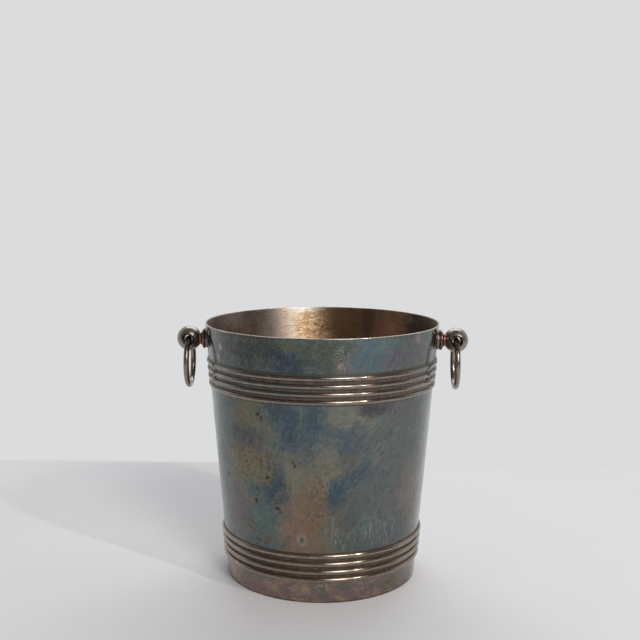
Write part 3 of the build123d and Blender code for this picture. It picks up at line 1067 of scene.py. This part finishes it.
def fitting_roughness(n, place, shared):
    """Handled turnings: a soft, cloudy sheen."""
    return cloudy(n, place, 0.004, 4.0, 0.24, 0.42)


def fitting_relief(n, place, shared):
    """Height of fine grain with sunken pits."""
    grain = n.noise(place, 0.0012, 4.0, 0.6)
    return n.calc("MULTIPLY_ADD", shared["pits"], -0.6, grain)


def ring_colour(n, place, shared):
    """Ring wire: grey-brown film, darker towards the top, near the ball."""
    colour = filmed(n, place, FITTING_COLOURS, level=0.34, blotch=0.34, mottle=0.30, grain=0.16)
    z = n.split(place)[2]
    # Darker towards the top, where the ring runs into the ball.
    bearing = n.fit(z, HANDLE_HEIGHT - 0.012, HANDLE_HEIGHT - 0.004)
    colour = n.tint(bearing, 0.55, colour, (70, 60, 52))
    shared["pits"] = specks(n, place, spacing=0.004, radius=0.0004, share=0.2)
    return colour


def ring_roughness(n, place, shared):
    """Finger-polished wire."""
    return cloudy(n, place, 0.006, 4.0, 0.22, 0.34)


def brass_colour(n, place, shared):
    """Washers and nuts: dull brass under brown film."""
    film = n.noise(place, 0.004, 4.0, 0.6)
    shared["pits"] = specks(n, place, spacing=0.003, radius=0.0004, share=0.2)
    return n.ramp(n.fit(film, 0.3, 0.7), BRASS_COLOURS)


def floor_colour(n, place, shared):
    """Floor dish: grey-brown plate with small water stains."""
    colour = filmed(n, place, INNER_COLOURS, level=0.32, blotch=0.5, mottle=0.3, grain=0.12)
    shared["pits"] = specks(n, place, spacing=0.009, radius=0.0012, share=0.2)
    return n.tint(shared["pits"], 0.6, colour, (70, 56, 44))


def spun_relief(n, place, shared):
    """Spinning lines: rings about the axis, from a wave of the distance to it, and pits."""
    sockets = {"Vector": place, "Scale": 260.0, "Distortion": 1.5, "Detail": 2.0}
    rings = n.add("ShaderNodeTexWave", sockets, wave_type="RINGS", rings_direction="Z")
    return n.calc("MULTIPLY_ADD", shared["pits"], -0.6, n.times(rings.outputs["Fac"], 0.4))


# Finish: its colour, roughness and relief functions, relief depth in metres, and brushing.
RECIPES = {
    "wall_outside": (wall_colour, wall_roughness, wall_relief, 0.00012, 0.35),
    "wall_inside": (inner_colour, inner_roughness, inner_relief, 0.00020, 0.8),
    "upper_reeds": (upper_reed_colour, reed_roughness, reed_relief, 0.00003, 0.7),
    "lower_reeds": (lower_reed_colour, reed_roughness, reed_relief, 0.00003, 0.7),
    "foot": (foot_colour, wall_roughness, wall_relief, 0.00014, 0.0),
    "balls": (fitting_colour, fitting_roughness, fitting_relief, 0.00006, 0.0),
    "collars": (collar_colour, fitting_roughness, fitting_relief, 0.00010, 0.0),
    "rings": (ring_colour, ring_roughness, fitting_relief, 0.00002, 0.0),
    "inner_brass": (brass_colour, fitting_roughness, fitting_relief, 0.00010, 0.0),
    "floor_dish": (floor_colour, inner_roughness, spun_relief, 0.00030, 0.0),
}
FINISHES = {name: metal(name, *recipe) for name, recipe in RECIPES.items()}


# ---- Pieces ----

def finish_node(node, material):
    """Gives a CAD node's object its finished material."""
    mesh = frame["nodes"][node].data
    mesh.materials.clear()
    mesh.materials.append(material)


def fit_piece(piece, body, node):
    """Makes a piece ride on a body and stand in for a CAD node, which is hidden."""
    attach(piece, body)
    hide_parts(node)


wall = spun_wall([FINISHES["wall_outside"], FINISHES["wall_inside"]])
fit_piece(wall, "bucket", "bucket_wall")
for number in range(1, REED_COUNT + 1):
    for band in ("upper", "lower"):
        node = f"{band}_reed_{number}"
        margin = MARGIN_WIDTH if node == "upper_reed_1" else 0.0
        seed = number + (10 if band == "lower" else 0)
        wire = reed_piece(node, seed, margin, FINISHES[band + "_reeds"])
        fit_piece(wire, "bucket", node)
finish_node("foot_ring", FINISHES["foot"])
finish_node("floor_plate", FINISHES["floor_dish"])
for seed, side in enumerate(("left", "right")):
    finish_node(side + "_ball_stud", FINISHES["balls"])
    finish_node(side + "_collar", FINISHES["collars"])
    finish_node(side + "_washer", FINISHES["inner_brass"])
    finish_node(side + "_nut", FINISHES["inner_brass"])
    ring = round_wire_ring(side + "_ring", 30 + seed, FINISHES["rings"])
    fit_piece(ring, side + "_ring_handle", side + "_ring")


# ---- Studio ----

CAMERA_PLACE = Vector((0.0215, -0.8702, 0.3393))
CAMERA_AIM = Vector((-0.0020, 0.0, 0.2199))
CAMERA_ROLL = radians(0.24)
CAMERA_LENS = 57.6
TABLE_FRONT = -2.5
TABLE_BACK = 0.34
TABLE_ROUNDING = 0.012
TABLE_STEPS = 12
TABLE_DROP = -0.8
TABLE_HALF = 2.5
BACKDROP = 0.72
ROOM = 0.16
# Area lights: name, degrees to the right of the front and up, distance, width and height in
# metres, power in watts and colour.
LIGHTS = [
    ("key_softbox", 24, 36, 2.6, 0.66, 1.10, 19.0, (1.0, 0.97, 0.95)),
    ("key_spread", 24, 36, 2.6, 1.40, 1.30, 11.5, (1.0, 0.97, 0.95)),
    ("small_lamp", 47, 36, 2.6, 0.05, 0.24, 12.0, (1.0, 0.94, 0.88)),
    ("backdrop_bounce", 175, 50, 1.8, 1.60, 0.80, 13.0, (1.0, 1.0, 1.0)),
]


def aimed(place, aim, roll=0.0):
    """Matrix that stands at place and looks along its -Z towards aim, upright but for roll."""
    back = (place - aim).normalized()
    right = Vector((0, 0, 1)).cross(back).normalized()
    up = back.cross(right)
    turn = Matrix((right, up, back)).transposed().to_4x4()
    return Matrix.Translation(place) @ turn @ Matrix.Rotation(roll, 4, "Z")


def add_camera():
    """Camera a little above the rim and to the right of the middle, with a short telephoto lens."""
    data = bpy.data.cameras.new("camera")
    data.lens = CAMERA_LENS
    data.sensor_width = 36.0
    data.clip_start = 0.01
    camera = bpy.data.objects.new("camera", data)
    camera.matrix_world = aimed(CAMERA_PLACE, CAMERA_AIM, CAMERA_ROLL)
    bpy.context.scene.collection.objects.link(camera)
    bpy.context.scene.camera = camera


def add_softbox(name, turn, elevation, distance, width, height, power, colour):
    """Area light on a sphere round the bucket's middle, aimed at it."""
    aim = Vector((0, 0, HEIGHT / 2))
    a, e = radians(turn - 90), radians(elevation)
    place = aim + distance * Vector((cos(a) * cos(e), sin(a) * cos(e), sin(e)))
    data = bpy.data.lights.new(name, "AREA")
    data.shape = "RECTANGLE"
    data.size, data.size_y = width, height
    data.energy, data.color = power, colour
    light = bpy.data.objects.new(name, data)
    light.matrix_world = aimed(place, aim)
    bpy.context.scene.collection.objects.link(light)


def add_table():
    """Pale paper over a table: a profile in Y and Z, carried straight along X.

    It is flat on top, turns down through a quarter circle at the back edge, and hangs straight.
    """
    swing = np.linspace(0, pi / 2, TABLE_STEPS)
    round_y = TABLE_BACK - TABLE_ROUNDING + TABLE_ROUNDING * np.sin(swing)
    round_z = TABLE_ROUNDING * (np.cos(swing) - 1)
    y = np.concatenate([[TABLE_FRONT], round_y, [TABLE_BACK]])
    z = np.concatenate([[0.0], round_z, [TABLE_DROP]])
    x = np.array([-TABLE_HALF, TABLE_HALF])
    grid = np.stack(np.broadcast_arrays(x[None, :], y[:, None], z[:, None]), axis=-1)
    i = np.arange(len(y) - 1) * 2
    faces = np.stack([i, i + 1, i + 3, i + 2], axis=1)
    material = bpy.data.materials.new("table_paper")
    material.use_nodes = True
    n = Nodes(material.node_tree)
    shader = material.node_tree.nodes["Principled BSDF"]
    place = object_place(n)
    cloud = n.noise(place, 0.25, 4.0)
    paper = n.ramp(cloud, [(0.3, (228, 228, 231)), (0.7, (232, 232, 234))])
    n.put(shader.inputs["Base Color"], paper)
    shader.inputs["Roughness"].default_value = 0.8
    shader.inputs["Specular IOR Level"].default_value = 0.15
    fibre = n.noise(place, 0.004, 4.0, 0.6)
    bump = n.add("ShaderNodeBump", {"Height": fibre, "Distance": 0.0001, "Strength": 0.5})
    n.put(shader.inputs["Normal"], bump.outputs[0])
    new_piece("table", grid, faces, [material])


def add_world():
    """Room: an evenly lit pale backdrop behind, a dim room overhead and behind the camera."""
    world = bpy.data.worlds.new("room")
    bpy.context.scene.world = world
    world.use_nodes = True
    world.node_tree.nodes.clear()
    n = Nodes(world.node_tree)
    direction = n.add("ShaderNodeTexCoord").outputs["Generated"]
    _, y, z = n.split(direction)
    back = n.fit(y, -0.05, 0.35)
    level = n.fit(z, 1.0, 0.5)
    strength = n.calc("MULTIPLY_ADD", n.times(back, level), BACKDROP - ROOM, ROOM)
    seen = n.add("ShaderNodeLightPath").outputs["Is Camera Ray"]
    strength = n.blend(seen, strength, BACKDROP)
    light = n.add("ShaderNodeBackground", {"Color": (0.985, 0.99, 1.0, 1.0), "Strength": strength})
    n.add("ShaderNodeOutputWorld", {"Surface": light.outputs[0]})


add_camera()
add_table()
add_world()
for light in LIGHTS:
    add_softbox(*light)
bpy.context.scene.view_settings.view_transform = "Standard"
